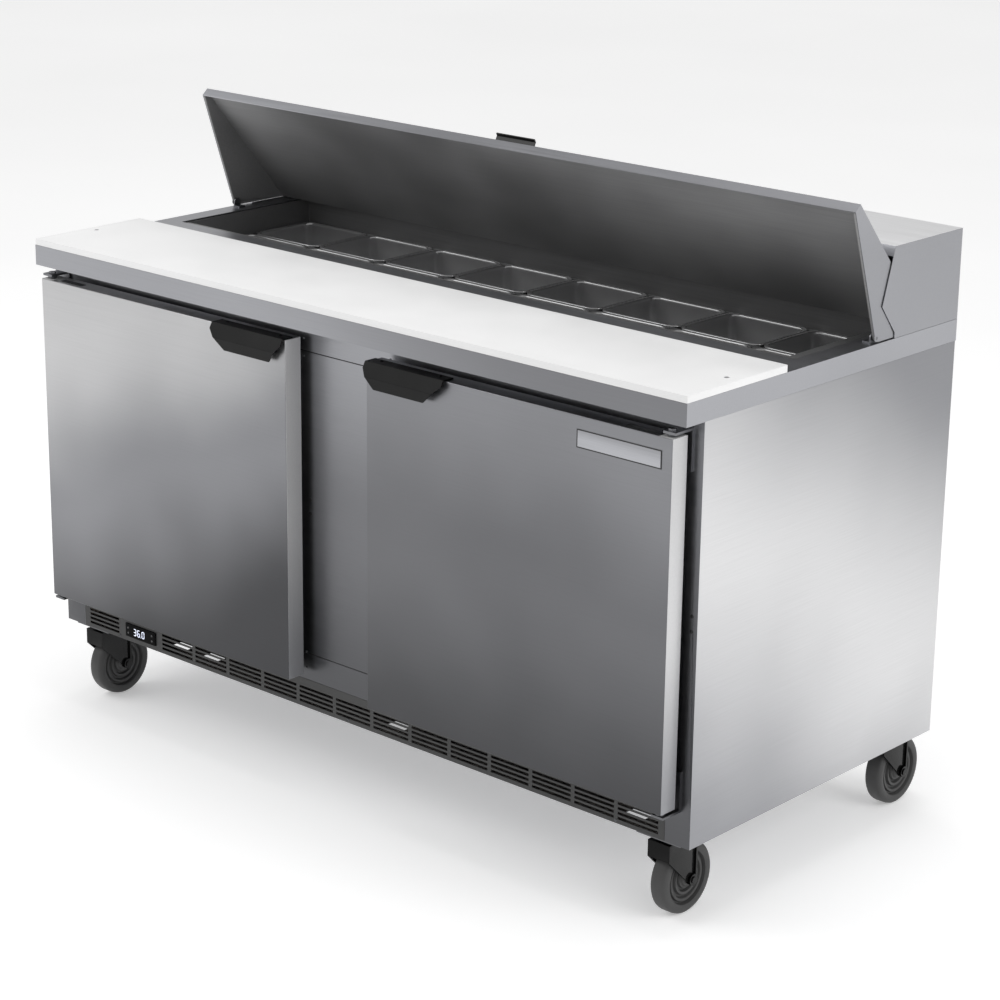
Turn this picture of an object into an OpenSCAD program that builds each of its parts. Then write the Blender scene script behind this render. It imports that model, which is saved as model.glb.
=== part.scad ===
// Two-door refrigerated sandwich prep table on casters, lid open.
// Millimetres, +Z up, +X to the right along the front, +Y to the back, floor at Z = 0.
// Depths are measured back from the worktop's front face; seat() then centres the table.

/* [Table] */
// Width of the worktop and cabinet
table_w = 1524; // [1500:1:1860]
// Depth of the worktop
table_d = 729; // [715:1:880]
// Height of the worktop above the floor
top_z = 894; // [880:1:1090]
// Height of the casters, floor to cabinet
caster_h = 150; // [140:1:170]
// Thickness of the outer steel sheet
sheet = 1.5; // [1:0.1:2]
// Clearance between pieces that move apart
gap = 0.3; // [0.2:0.1:0.5]

/* [Worktop] */
// Height of the worktop's folded faces
face_h = 37.5; // [30:0.5:45]
// How far the worktop stands out over the cabinet front
overhang = 45; // [40:1:54]
// Depth of the cutting board
board_d = 252; // [200:1:252]
// Thickness of the cutting board
board_t = 12; // [8:0.5:20]
// Radius of the two pins that hold the board
board_pin_r = 4; // [3:0.5:6]

/* [Pans] */
// Number of pans along the table
pan_cols = 8; // [8:1:8]
// Rim width of one pan, along the table
pan_w = 176; // [170:1:176]
// Rim depth of one pan, front to back
pan_d = 158.2; // [155:0.1:159]
// Depth of a pan
pan_depth = 100; // [60:1:120]
// Corner radius of a pan's rim
pan_r = 24; // [15:1:30]
// Height of the worktop above the pan rims
pan_drop = 48; // [40:1:55]
// Play between neighbouring pans
pan_play = 1.1; // [0.8:0.1:2]
// Front wall of the pan well, from the worktop's front
well_y = 339; // [336:0.5:342]
// Depth of the pan well
well_h = 195; // [185:1:230]
// Width of the steel margin left of the pan well
well_margin = 42; // [36:1:60]

/* [Lid and hood] */
// Height of the rear hood above the worktop
hood_h = 155.5; // [145:0.5:175]
// Front edge of the hood's top
hood_y = 533; // [533:1:545]
// Lid hinge, from the worktop's front
lid_y = 495; // [490:1:495]
// Lid hinge height above the worktop
lid_up = 9; // [8:0.5:12]
// Angle that the open lid turns to close
lid_swing = 71.4; // [60:0.1:75]
// Reach of the lid's rim in front of its hinge
lid_reach = 232; // [200:1:235]
// Thickness of the lid's insulated top
lid_t = 8; // [6:0.5:12]

/* [Doors] */
// Width of a door
door_w = 644.5; // [560:0.5:645]
// Height of a door
door_h = 616; // [600:1:760]
// Thickness of a door without its gasket
door_t = 36; // [30:0.5:37]
// Top of the doors below the worktop
door_drop = 59; // [56:0.5:70]
// Gap from a door's outer edge to the cabinet side
door_side = 21; // [18:0.5:30]
// How far the doors stand in front of the worktop's face
door_proud = 5; // [0:0.5:10]
// Radius of the door hinge pins
hinge_pin_r = 4; // [3:0.5:6]
// Width of a door handle
handle_w = 176; // [120:1:220]
// Height of a door handle
handle_h = 41; // [30:1:60]
// How far a handle stands in front of its door
handle_out = 17.5; // [12:0.5:25]

/* [Casters] */
// Radius of a caster wheel
wheel_r = 62.5; // [55:0.5:63.5]
// Width of a caster wheel
wheel_w = 32; // [25:1:40]
// Trail of a caster, swivel to axle
trail = 30; // [25:1:40]
// Caster swivel in from the cabinet's side
caster_in = 67; // [60:1:90]
// Front caster swivel, from the worktop's front
caster_front_y = 82; // [80:1:100]
// Back caster swivel, in from the worktop's back
caster_back_in = 44; // [40:1:60]

/* [Grille] */
// Height of the lower grille
grille_h = 55; // [45:1:56]
// Pitch of the slot groups
slot_pitch = 92; // [80:1:120]
// Height of one slot
slot_h = 4.5; // [3:0.5:6]

/* [Hidden] */
$fn = 48;

half_w = table_w / 2;
fit = 0.1;                                   // running clearance round a pin
cab_back = table_d - 2;                      // back of the cabinet
base_z = caster_h;                           // underside of the cabinet
skirt_z = top_z - face_h;                    // underside of the worktop's faces
front_y = -door_proud - handle_out;          // foremost face of the handles
caster_back_y = table_d - caster_back_in;
rear_y = caster_back_y + trail + wheel_r;    // rearmost point of the back wheels
foam_x = half_w - sheet - 0.5;               // outer side of the foam

// pan well
well_x0 = -half_w + well_margin;
well_w = pan_cols * (pan_w + pan_play) + pan_play;
well_x1 = well_x0 + well_w;
well_d = 2 * pan_d + 4 * pan_play;
well_y1 = well_y + well_d;
well_wall = 1.2;
rim_t = 2.5;                                 // thickness of a pan's rolled rim
rim_z = top_z - pan_drop;                    // top of the pan rims
ledge_z = rim_z - rim_t - gap;               // ledges under the rims
pan_inset = 8;                               // pan body in from its rim
pan_wall = 0.9;

// doors
door_z1 = top_z - door_drop;
door_z0 = door_z1 - door_h;
door_x1 = half_w - door_side;
door_x0 = door_x1 - door_w;
door_y0 = -door_proud;
door_y1 = door_y0 + door_t;
pin_x = door_x1 - 13;                        // hinge pin in from the door's edge
pin_y = door_y0 + 15;
seal = 14;                                   // gasket section
open_in = 28 + seal / 2 - 4;                 // door edge to cabinet opening
open_x0 = door_x0 + open_in;
open_x1 = door_x1 - 41;
open_z0 = door_z0 + 40;
open_z1 = door_z1 - 36;

// cabinet inside
floor_z = open_z0;
ceiling_z = open_z1 + 5;
liner_t = 1.2;
liner_x = open_x1;
step_y = 440;                                // front of the raised machine bay
step_z = floor_z + 235;
liner_back = well_y1 + 9;
duct_z = base_z + grille_h;                   // top of the grille and its air duct
bay_y = step_y + 50;
bay_z = step_z - 50;
bay_x = liner_x - 10;

module seat() { translate([0, -(front_y + rear_y) / 2, 0]) children(); }
module block(x, y, z) { translate([x[0], y[0], z[0]]) cube([x[1] - x[0], y[1] - y[0], z[1] - z[0]]); }
module both() { children(); mirror([1, 0, 0]) children(); }
module side(s) { if (s < 0) mirror([1, 0, 0]) children(); else children(); }
// a rod along X between two places
module rod_x(x0, x1, y, z, r) { translate([x0, y, z]) rotate([0, 90, 0]) cylinder(r = r, h = x1 - x0); }
module rod_y(x, y0, y1, z, r) { translate([x, y0, z]) rotate([-90, 0, 0]) cylinder(r = r, h = y1 - y0); }
// an outline in Y and Z, extruded along X
module along_x(x0, x1) { translate([x0, 0, 0]) rotate([90, 0, 90]) linear_extrude(x1 - x0) children(); }
// an outline in X and Z, extruded back along Y
module along_y(y0, y1) { translate([0, y1, 0]) rotate([90, 0, 0]) linear_extrude(y1 - y0) children(); }
module round_rect(w, d, r) {
    square([w - 2 * r, d], center = true);
    square([w, d - 2 * r], center = true);
    for (x = [-1, 1], y = [-1, 1]) translate([x * (w / 2 - r), y * (d / 2 - r)]) circle(r);
}

// ---- cabinet ----
plug_z = door_z1 - 293;                      // the pair of plugged holes beside each door
plug_pitch = 25.3;
plug_r = 2.4;
post_w = 27;                                 // front flange of a side panel

module side_panels() {
    color("silver") seat() both() difference() {
        union() {
            block([half_w - sheet, half_w], [overhang, cab_back], [base_z, skirt_z]);
            block([half_w - post_w, half_w], [overhang, overhang + sheet], [base_z, skirt_z]);
            block([grille_x + gap, half_w], [overhang, overhang + sheet], [base_z, duct_z - gap]);
        }
        for (k = [0, 1])
            rod_y(half_w - 11.3, overhang - 1, overhang + sheet + 1, plug_z - k * plug_pitch, plug_r);
    }
}

gland_x = half_w - 260;
gland_z = base_z + 62;
gland_r = 11;
module back_panel() {
    color("silver") seat() difference() {
        block([-foam_x, foam_x], [cab_back - sheet, cab_back], [base_z, skirt_z - gap]);
        for (i = [-2:2], k = [0:7])
            block([i * 180 - 70, i * 180 + 70], [cab_back - 5, cab_back + 1],
                [base_z + 100 + k * 18, base_z + 107 + k * 18]);
        rod_y(gland_x, cab_back - 5, cab_back + 1, gland_z, gland_r + fit);
    }
}

module cord_gland() {
    color("dimgray") seat() difference() {
        union() {
            rod_y(gland_x, cab_back - 8, cab_back, gland_z, gland_r);
            rod_y(gland_x, cab_back, cab_back + 1.8, gland_z, gland_r + 4);
            rod_y(gland_x, cab_back - 12, cab_back - sheet - gap, gland_z, gland_r + 3);
        }
        rod_y(gland_x, cab_back - 20, cab_back + 5, gland_z, 5);
    }
}

tray_x = [-120, 60];
tray_y = [bay_y + 30, bay_y + 130];
module base_pan() {
    color("gray") seat() {
        difference() {
            block([-foam_x, foam_x], [overhang + sheet + gap, cab_back - sheet - gap],
                [base_z, base_z + sheet]);
            for (x = [-0.32, -0.265, 0.05, 0.405] * table_w)
                block([x - 20, x + 20], [overhang + 38, overhang + 62], [base_z - 1, base_z + 3]);
            for (x = [130:60:430])
                block([x, x + 40], [bay_y + 10, bay_y + 90], [base_z - 1, base_z + 3]);
        }
        // pressed tray that catches and boils off the condensate
        difference() {
            block(tray_x, tray_y, [base_z + sheet, base_z + 26]);
            block([tray_x[0] + 2, tray_x[1] - 2], [tray_y[0] + 2, tray_y[1] - 2],
                [base_z + sheet + 2, base_z + 30]);
        }
    }
}

seam = 2;
mullion_y = overhang + 43;
module front_frame() {
    x1 = half_w - post_w - gap;
    color("darkgray") seat() difference() {
        union() {
            block([-x1, x1], [overhang, overhang + sheet], [duct_z, skirt_z - gap]);
            block([-open_x0, open_x0], [overhang, mullion_y], [open_z0, open_z1]);
            both() block([14, 30], [mullion_y - 1, mullion_y + 22], clip_z);
        }
        both() block([open_x0, open_x1], [overhang - 1, overhang + 5], [open_z0, open_z1]);
        // seams where the centre panel meets the rails
        for (z = [open_z1 + 7, open_z0 - 5])
            block([-open_x0 + 8, open_x0 - 8], [overhang - 1, overhang + seam / 2], [z, z + seam]);
        both() for (k = [0, 1])
            rod_y(door_x0 - 7, overhang - 1, overhang + 8, plug_z - k * plug_pitch, plug_r);
    }
}

// side outline of the food space, grown by d; front left open when over is set
module food_outline(d, over = 0) {
    f = overhang + sheet + gap - over;
    polygon([[f, floor_z - d], [step_y + d, floor_z - d], [step_y + d, step_z - d],
        [liner_back + d, step_z - d], [liner_back + d, top_z - well_h - 7 + d],
        [well_y - 5 + d, top_z - well_h - 7 + d], [well_y - 5 + d, ceiling_z + d], [f, ceiling_z + d]]);
}

shelf_z = floor_z + 190;
shelf_y = [96, step_y - 8];
post_t = 5;
rail = 3;                                    // half the section of a shelf's frame bar
clip_z = [shelf_z - rail - gap - 10, shelf_z - rail - gap];
module shelf_posts() {
    z = [floor_z + 40, floor_z + 400];
    both() {
        for (y = [110, 392]) {
            block([liner_x - post_t, liner_x], [y, y + 16], z);
            block([liner_x - post_t - 8, liner_x - post_t], [y + 3, y + 13], clip_z);
        }
        block([14, 30], [step_y - post_t, step_y], [z[0], step_z - 20]);
        block([17, 27], [step_y - post_t - 8, step_y - post_t], clip_z);
    }
}
module cabinet_liner() {
    color("gainsboro") seat() {
        difference() {
            along_x(-liner_x - liner_t, liner_x + liner_t) food_outline(liner_t);
            along_x(-liner_x, liner_x) food_outline(0, 9);
        }
        shelf_posts();
    }
}

module cabinet_foam() {
    c = 0.3;
    color("khaki") seat() difference() {
        union() {
            block([-foam_x, foam_x], [overhang + sheet + c, cab_back - sheet - c],
                [base_z + sheet + c, top_z - 5]);
            block([-foam_x, foam_x], [sheet + c, overhang + sheet + c], [skirt_z + sheet + c, top_z - 5]);
        }
        along_x(-liner_x - liner_t - c, liner_x + liner_t + c) food_outline(liner_t + c, 9);
        block([well_x0 - well_wall - c, well_x1 + well_wall + c],
            [well_y - well_wall - c, well_y1 + well_wall + c], [top_z - well_h - c, top_z]);
        block([-bay_x, bay_x], [bay_y, table_d], [base_z, bay_z]);
        block([-half_w + 20, half_w - 20], [0, bay_y + 1], [base_z, duct_z]);
    }
}

module worktop() {
    color("silver") seat() {
        difference() {
            block([-half_w, half_w], [0, table_d], [skirt_z, top_z]);
            block([-half_w + sheet, half_w - sheet], [sheet, table_d - sheet], [skirt_z - 1, top_z - sheet]);
            block([well_x0 - 2, -well_x0 + 2], [well_y - 16, well_y1 + 3], [skirt_z, top_z + 1]);
        }
        block([-half_w, half_w], [sheet, overhang], [skirt_z, skirt_z + sheet]);
        both() translate([half_w - 24, board_d / 2, top_z - sheet])
            cylinder(r = board_pin_r, h = sheet + board_t - 1);
    }
}

module cutting_board() {
    color("white") seat() difference() {
        block([-half_w, half_w], [0, board_d], [top_z + gap, top_z + board_t]);
        both() translate([half_w - 24, board_d / 2, top_z - 1]) cylinder(r = board_pin_r + 0.6, h = board_t + 5);
    }
}

// ---- pans ----
flange_z = top_z - sheet - 3;
module pan_well() {
    wx = [well_x0, well_x1];
    wy = [well_y, well_y1];
    bar_y = well_y + well_d / 2;
    color("dimgray") seat() difference() {
        union() {
            difference() {
                block([wx[0] - 15, -well_x0 + 15], [well_y - 32, well_y1 + 17], [flange_z, flange_z + sheet]);
                block(wx, wy, [flange_z - 1, flange_z + 9]);
            }
            difference() {
                block([wx[0] - well_wall, wx[1] + well_wall], [wy[0] - well_wall, wy[1] + well_wall],
                    [top_z - well_h, flange_z]);
                block(wx, wy, [top_z - well_h + well_wall, flange_z + 1]);
            }
            block(wx, [wy[0], wy[0] + 7], [ledge_z - 2, ledge_z]);
            block(wx, [wy[1] - 7, wy[1]], [ledge_z - 2, ledge_z]);
            block(wx, [bar_y - 6, bar_y + 6], [ledge_z - 10, ledge_z]);
        }
        for (i = [0:7])
            block([wx[0] + 60 + i * 170, wx[0] + 160 + i * 170], [wy[0] + 20, wy[0] + 34],
                [top_z - well_h - 1, top_z - well_h + 5]);
    }
}

function pan_name(i) = str("pan_", i < 10 ? "0" : "", i);
// pans 1 to 8 are the back row and 9 to 16 the front row, both from the left
function pan_x(i) = well_x0 + pan_play + pan_w / 2 + ((i - 1) % pan_cols) * (pan_w + pan_play);
function pan_y(i) = well_y + pan_play + pan_d / 2 + (i > pan_cols ? 0 : 1) * (pan_d + 2 * pan_play);
module pan(i) {
    w = pan_w - 2 * pan_inset;
    d = pan_d - 2 * pan_inset;
    color("lightgray") seat() translate([pan_x(i), pan_y(i), rim_z]) difference() {
        union() {
            translate([0, 0, -rim_t]) linear_extrude(rim_t) round_rect(pan_w, pan_d, pan_r);
            translate([0, 0, -pan_depth]) linear_extrude(pan_depth) round_rect(w, d, pan_r - 4);
        }
        translate([0, 0, -pan_depth + pan_wall]) linear_extrude(pan_depth)
            round_rect(w - 2 * pan_wall, d - 2 * pan_wall, pan_r - 4 - pan_wall);
    }
}

// ---- rear hood ----
hood_t = 1.2;
nose = [lid_y + 8.8, 59.7];                  // foremost point of a cheek
heel = [lid_y + 48.8, 10];
fascia_h = 16.8;
module hood_outline() {
    polygon([[hood_y, hood_h], nose, heel, [heel[0], gap], [table_d, gap], [table_d, hood_h]]);
}
module rear_hood() {
    lean = (hood_y - nose[0]) / (hood_h - nose[1]);
    color("silver") seat() translate([0, 0, top_z]) {
        both() along_x(half_w - hood_t, half_w) hood_outline();
        block([-half_w + hood_t, half_w - hood_t], [hood_y, table_d], [hood_h - hood_t, hood_h]);
        block([-half_w + hood_t, half_w - hood_t], [table_d - hood_t, table_d], [gap, hood_h - hood_t]);
        along_x(-half_w + hood_t, half_w - hood_t)
            polygon([[hood_y, hood_h], [hood_y - lean * fascia_h, hood_h - fascia_h],
                [hood_y - lean * fascia_h + hood_t, hood_h - fascia_h], [hood_y + 2.5, hood_h - hood_t],
                [hood_y + 2.5, hood_h]]);
    }
}

// ---- lid, drawn closed about its hinge and then turned open ----
lid_slope = 22.3;
lip_low = [-lid_reach, -4.1];
lip_high = [-lid_reach - 6.7, 11.2];
lid_rear = 49;                               // rear end of the top, behind the hinge
lid_clear = 2.2;                             // height of the open lid's end skins over the worktop
lid_end_x = half_w - hood_t - 0.8;           // outer face of the lid's end skins
skin = 1.2;
cap_t = 4;
ear_r = 6;
lid_pin_r = 3;
function on_top(y, d) = [y, lip_high[1] + (y - lip_high[0]) * tan(lid_slope) - d / cos(lid_slope)];
// a point of the closed lid, given where it stands when the lid is open
function shut(y, z) = [y * cos(lid_swing) - z * sin(lid_swing), y * sin(lid_swing) + z * cos(lid_swing)];
low = lid_clear - lid_up;
module lid_placed() {
    seat() translate([0, lid_y, top_z + lid_up]) rotate([-lid_swing, 0, 0]) children();
}
// wedge outline under the lid's top skin, d below its outer face
module wedge(d) {
    polygon([lip_low + [d + 1, 0], on_top(lip_high[0] + d * 1.3, d), on_top(lid_rear - d, d),
        shut(130, low), shut(3, low), [2, lip_low[1]]]);
}
module lid_end_outline() {
    notch = [-42.5, 29.5];
    polygon([lip_low, lip_high, on_top(-106.7, 0), notch, shut(50, low), shut(3, low), [0, lip_low[1]]]);
    circle(ear_r);
}
module lid_shell() {
    color("silver") lid_placed() difference() {
        union() {
            // top skin with its folded front lip and rear hem
            along_x(-lid_end_x, lid_end_x) polygon([lip_low, lip_high, on_top(-106.7, 0), on_top(-106.7, skin),
                on_top(lip_high[0] + 2, skin), lip_low + [skin, 0]]);
            along_x(-lid_end_x + 0.9, lid_end_x - 0.9) polygon([on_top(-107, 0), on_top(lid_rear, 0),
                on_top(lid_rear, skin), on_top(-107, skin)]);
            both() along_x(lid_end_x - skin, lid_end_x) lid_end_outline();
        }
        both() rod_x(lid_end_x - 5, lid_end_x + 5, 0, 0, lid_pin_r + fit);
    }
}
module lid_liner() {
    x1 = lid_end_x - skin - 0.2;
    color("dimgray") lid_placed() difference() {
        union() {
            along_x(-x1, x1) polygon([on_top(lip_high[0] + 6, skin + 0.2), on_top(lid_rear - 1, skin + 0.2),
                on_top(lid_rear - 1, skin + lid_t), on_top(lip_high[0] + 6, skin + lid_t - 2)]);
            both() along_x(x1 - cap_t, x1) wedge(skin + 1);
        }
        both() rod_x(x1 - 9, x1 + 5, 0, 0, lid_pin_r + fit);
    }
}
module lid_handle() {
    w = 94;
    color("black") lid_placed() translate([0, lip_high[0], lip_high[1]]) rotate([lid_slope, 0, 0])
        {
            block([-w / 2, w / 2], [16, 42], [0.05, 2.5]);
            along_x(-w / 2 + 2, w / 2 - 2) polygon([[36, 2], [40, 2], [29, 29], [22, 31], [21, 28.5], [26.5, 27]]);
        }
}
module lid_hinge_pins() {
    x = lid_end_x - skin - 0.2 - cap_t - 1;
    color("gray") seat() translate([0, lid_y, top_z]) both() {
        difference() {
            union() {
                block([x - 3, x], [-8, 8], [0.05, lid_up]);
                rod_x(x - 3, x, 0, lid_up, 8);
                block([x - 16, x], [-8, 8], [0.05, 3]);
            }
            translate([x - 10, 0, -1]) cylinder(r = 2, h = 9);
        }
        rod_x(x - 1, lid_end_x - 0.1, 0, lid_up, lid_pin_r);
    }
}

// ---- doors, drawn on the right and mirrored for the left ----
core_bulge = 8;
module hinge_bores(r) {
    for (z = [door_z0 - 1, door_z1 - 29]) translate([pin_x, pin_y, z]) cylinder(r = r, h = 30);
}
module door_skin(s) {
    color("silver") seat() side(s) difference() {
        block([door_x0, door_x1], [door_y0, door_y1], [door_z0, door_z1]);
        block([door_x0 + sheet, door_x1 - sheet], [door_y0 + sheet, door_y1 + 1],
            [door_z0 + sheet, door_z1 - sheet]);
        hinge_bores(hinge_pin_r + fit);
    }
}
module door_core(s) {
    c = 0.1;
    in = 20 + seal;
    color("whitesmoke") seat() side(s) difference() {
        union() {
            block([door_x0 + sheet + c, door_x1 - sheet - c], [door_y0 + sheet + c, door_y1],
                [door_z0 + sheet + c, door_z1 - sheet - c]);
            block([open_x0 + 3, open_x1 - 3], [door_y1, door_y1 + core_bulge], [open_z0 + 3, open_z1 - 3]);
        }
        hinge_bores(hinge_pin_r + fit);
    }
}
module door_gasket(s) {
    y = [door_y1 + 0.05, overhang - gap];
    color("dimgray") seat() side(s) difference() {
        block([open_x0 - 2 - seal, open_x1 + 2 + seal], y, [open_z0 - 2 - seal, open_z1 + 2 + seal]);
        block([open_x0 - 2, open_x1 + 2], [y[0] - 1, y[1] + 1], [open_z0 - 2, open_z1 + 2]);
    }
}
handle_t = 2.5;
module door_handle(s) {
    x0 = door_x0 + 1.5;
    x1 = x0 + handle_w;
    break_z = -0.51 * handle_h;
    color("black") seat() side(s) translate([0, door_y0, door_z1]) difference() {
        // bent plate: flange on the door's top edge, slanted face and a lip leaning back in
        intersection() {
            along_x(x0, x1) polygon([[20, handle_t], [-5, handle_t], [-handle_out, break_z],
                [-handle_out + 4.5, -handle_h], [-handle_out + 7, -handle_h + 0.4],
                [-handle_out + 2.6, break_z + 0.2], [-3.6, 0.05], [20, 0.05]]);
            along_y(-30, 30) polygon([[x0, 9], [x1, 9], [x1, -8], [x1 - 39, -handle_h - 1],
                [x0 + 27, -handle_h - 1], [x0, -8]]);
        }
        for (x = [x0 + 22, x1 - 22]) translate([x, 12, -5]) cylinder(r = 2.2, h = 20);
    }
}
arm_t = 4;
module door_hinges() {
    leaf_h = 70;
    arm_x = [pin_x - 10, pin_x + 14];
    top = door_z1 + 9;
    bottom = door_z0 - 9;
    color("lightslategray") seat() both() {
        block(arm_x, [pin_y - 10, overhang], [top - arm_t, top]);
        block(arm_x, [overhang - arm_t, overhang - 0.02], [top - leaf_h, top]);
        translate([pin_x, pin_y, door_z1 - 22]) cylinder(r = hinge_pin_r, h = top - door_z1 + 22);
        translate([pin_x, pin_y, door_z1 + gap]) cylinder(r = 8, h = top - arm_t - door_z1 - gap);
        translate([pin_x, pin_y, top]) cylinder(r = 6.5, h = 3.5, $fn = 6);
        block(arm_x, [pin_y - 10, overhang], [bottom, bottom + arm_t]);
        block(arm_x, [overhang - arm_t, overhang - 0.02], [bottom, bottom + leaf_h]);
        translate([pin_x, pin_y, bottom]) cylinder(r = hinge_pin_r, h = 9 + 22);
        translate([pin_x, pin_y, bottom + arm_t]) cylinder(r = 8, h = 9 - arm_t - gap);
    }
}

// ---- lower grille and display ----
grille_x = half_w - 51;
slot_x0 = -grille_x + 15;
slot_w = slot_pitch - 8;
disp_x0 = slot_x0 + slot_pitch + 13;
disp_w = 84;
disp_h = 26;
slot_z0 = base_z + 8;
slot_step = 8.7;
disp_z = base_z + 10;
module lower_grille() {
    n = floor((grille_x - (disp_x0 + disp_w + 17) - slot_w) / slot_pitch);
    color("dimgray") seat() difference() {
        block([-grille_x, grille_x], [overhang, overhang + sheet], [base_z, duct_z - gap]);
        for (k = [0:3]) {
            z = [slot_z0 + k * slot_step, slot_z0 + k * slot_step + slot_h];
            block([slot_x0, slot_x0 + slot_w], [overhang - 1, overhang + 5], z);
            for (i = [0:n])
                block([disp_x0 + disp_w + 17 + i * slot_pitch, disp_x0 + disp_w + 17 + i * slot_pitch + slot_w],
                    [overhang - 1, overhang + 5], z);
        }
        block([disp_x0 + 3, disp_x0 + disp_w - 3], [overhang - 1, overhang + 5], [disp_z + 3, disp_z + disp_h - 3]);
    }
}
module display_controller() {
    color("black") seat() {
        block([disp_x0, disp_x0 + disp_w], [overhang - 2.5, overhang - 0.02], [disp_z, disp_z + disp_h]);
        block([disp_x0 + 4, disp_x0 + disp_w - 4], [overhang - 0.1, overhang + 55],
            [disp_z + 4, disp_z + disp_h - 4]);
    }
}

// ---- shelves ----
module shelf(s) {
    x = [12, liner_x - 8];
    wire = 1.6;
    n = 22;
    z = [shelf_z - rail, shelf_z + rail];
    mid = (shelf_y[0] + shelf_y[1]) / 2;
    color("whitesmoke") seat() side(s) {
        for (y = [shelf_y[0] + rail, mid, shelf_y[1] - rail]) block(x, [y - rail, y + rail], z);
        for (k = [0, 1]) block([x[k] - k * 2 * rail, x[k] + (1 - k) * 2 * rail], shelf_y, z);
        for (k = [1:n - 1]) rod_y(x[0] + rail + k * (x[1] - x[0] - 2 * rail) / n, shelf_y[0] + rail,
            shelf_y[1] - rail, shelf_z + rail - 0.4, wire);
    }
}

// ---- refrigeration ----
comp_x = -330;
comp_y = bay_y + 95;
module compressor() {
    z = base_z + sheet;
    color("black") seat() translate([comp_x, comp_y, z]) {
        rotate_extrude($fn = 64) polygon([[0, 22], [62, 22], [78, 36], [80, 60], [80, 118], [74, 140],
            [52, 158], [0, 166]]);
        block([-95, 95], [-62, 62], [16, 22]);
        for (x = [-80, 80], y = [-46, 46]) translate([x, y, 0.05]) cylinder(r = 11, h = 16);
        translate([0, 0, 160]) cylinder(r = 4, h = 40);
    }
}
cond_x = 300;
cond_y = bay_y + 18;
cond_z = [base_z + 20, base_z + 215];
fan_r = 78;
fan_z = (cond_z[0] + cond_z[1]) / 2;
module condenser_unit() {
    color("gray") seat() {
        block([cond_x - 150, cond_x + 150], [cond_y, cond_y + 40], cond_z);
        for (k = [0:5]) rod_x(cond_x - 165, cond_x + 165, cond_y + 20, cond_z[0] + 20 + k * 31, 5);
        difference() {
            block([cond_x - 100, cond_x + 100], [cond_y + 40, cond_y + 90], cond_z);
            rod_y(cond_x, cond_y + 39, cond_y + 91, fan_z, fan_r + 8);
        }
        // fan motor on its bracket, with the fixed shaft that the fan turns on
        rod_y(cond_x, cond_y + 100, cond_y + 150, fan_z, 32);
        block([cond_x - 100, cond_x + 100], [cond_y + 92, cond_y + 100], [fan_z - 12, fan_z + 12]);
        block([cond_x - 100, cond_x - 94], [cond_y + 88, cond_y + 94], [fan_z - 12, fan_z + 12]);
        block([cond_x + 94, cond_x + 100], [cond_y + 88, cond_y + 94], [fan_z - 12, fan_z + 12]);
        rod_y(cond_x, cond_y + 52, cond_y + 101, fan_z, 3);
        block([cond_x - 150, cond_x + 150], [cond_y, cond_y + 160], [base_z + sheet + 0.05, base_z + 8]);
        for (x = [cond_x - 140, cond_x + 130])
            block([x, x + 10], [cond_y + 5, cond_y + 35], [base_z + 7, cond_z[0] + 1]);
    }
}
module fan(r, bore) {
    rotate([-90, 0, 0]) difference() {
        union() {
            cylinder(r = r * 0.28, h = 22);
            for (k = [0:4]) rotate([0, 0, k * 72]) translate([r * 0.2, 0, 11]) rotate([28, 0, 0])
                translate([0, -r * 0.26, -0.8]) cube([r * 0.76, r * 0.52, 1.6]);
        }
        translate([0, 0, -1]) cylinder(r = bore, h = 24);
    }
}
module condenser_fan() {
    color("black") seat() translate([cond_x, cond_y + 62, fan_z]) fan(fan_r, 3 + fit);
}
evap_y = [step_y + 60, step_y + 200];
evap_z = [step_z + 30, step_z + 170];
evap_fan_r = 58;
evap_fan_z = (evap_z[0] + evap_z[1]) / 2;
module evaporator_unit() {
    color("silver") seat() {
        difference() {
            block([-260, 260], evap_y, evap_z);
            block([-258, 258], [evap_y[0] + 2, evap_y[1] + 1], [evap_z[0] + 2, evap_z[1] - 2]);
            rod_y(0, evap_y[0] - 1, evap_y[0] + 5, evap_fan_z, evap_fan_r + 3);
        }
        for (x = [-230, 90]) {
            block([x, x + 140], [evap_y[0] + 60, evap_y[1]], [evap_z[0] + 1.9, evap_z[1] - 1.9]);
            for (k = [0:3]) rod_x(x - 14, x + 154, evap_y[0] + 100, evap_z[0] + 25 + k * 30, 4.5);
        }
        rod_y(0, evap_y[0] + 50, evap_y[1], evap_fan_z, 26);
        rod_y(0, evap_y[0] + 4, evap_y[0] + 51, evap_fan_z, 3);
        block([-92, 92], [evap_y[1] - 6, evap_y[1]], [evap_fan_z - 14, evap_fan_z + 14]);
        both() block([100, 120], [evap_y[1] - 8, liner_back - 0.2], [evap_z[1] - 40, evap_z[1] - 10]);
    }
}
module evaporator_fan() {
    color("black") seat() translate([0, evap_y[0] + 14, evap_fan_z]) fan(evap_fan_r, 3 + fit);
}

// ---- casters ----
caster_x = half_w - caster_in;
plate_t = 4;
fork_z = base_z - 10;                        // top of the turning fork
axle_r = 6;
king_r = 6;
module at_caster(s, back) {
    seat() translate([s * caster_x, back ? caster_back_y : caster_front_y, 0]) children();
}
module caster_plates() {
    color("dimgray") for (s = [-1, 1], back = [0, 1]) at_caster(s, back) {
        difference() {
            translate([-45, -33, base_z - plate_t - 0.05]) cube([90, 66, plate_t]);
            for (x = [-1, 1], y = [-1, 1])
                translate([x * 36, y * 24, base_z - 10]) cylinder(r = 4.2, h = 20);
        }
        translate([0, 0, fork_z + gap]) cylinder(r1 = 20, r2 = 27, h = base_z - plate_t - fork_z - gap);
        translate([0, 0, fork_z - 8]) cylinder(r = king_r, h = 14);
        translate([0, 0, fork_z - 12]) cylinder(r = 10, h = 4.5, $fn = 6);
    }
}
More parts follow.
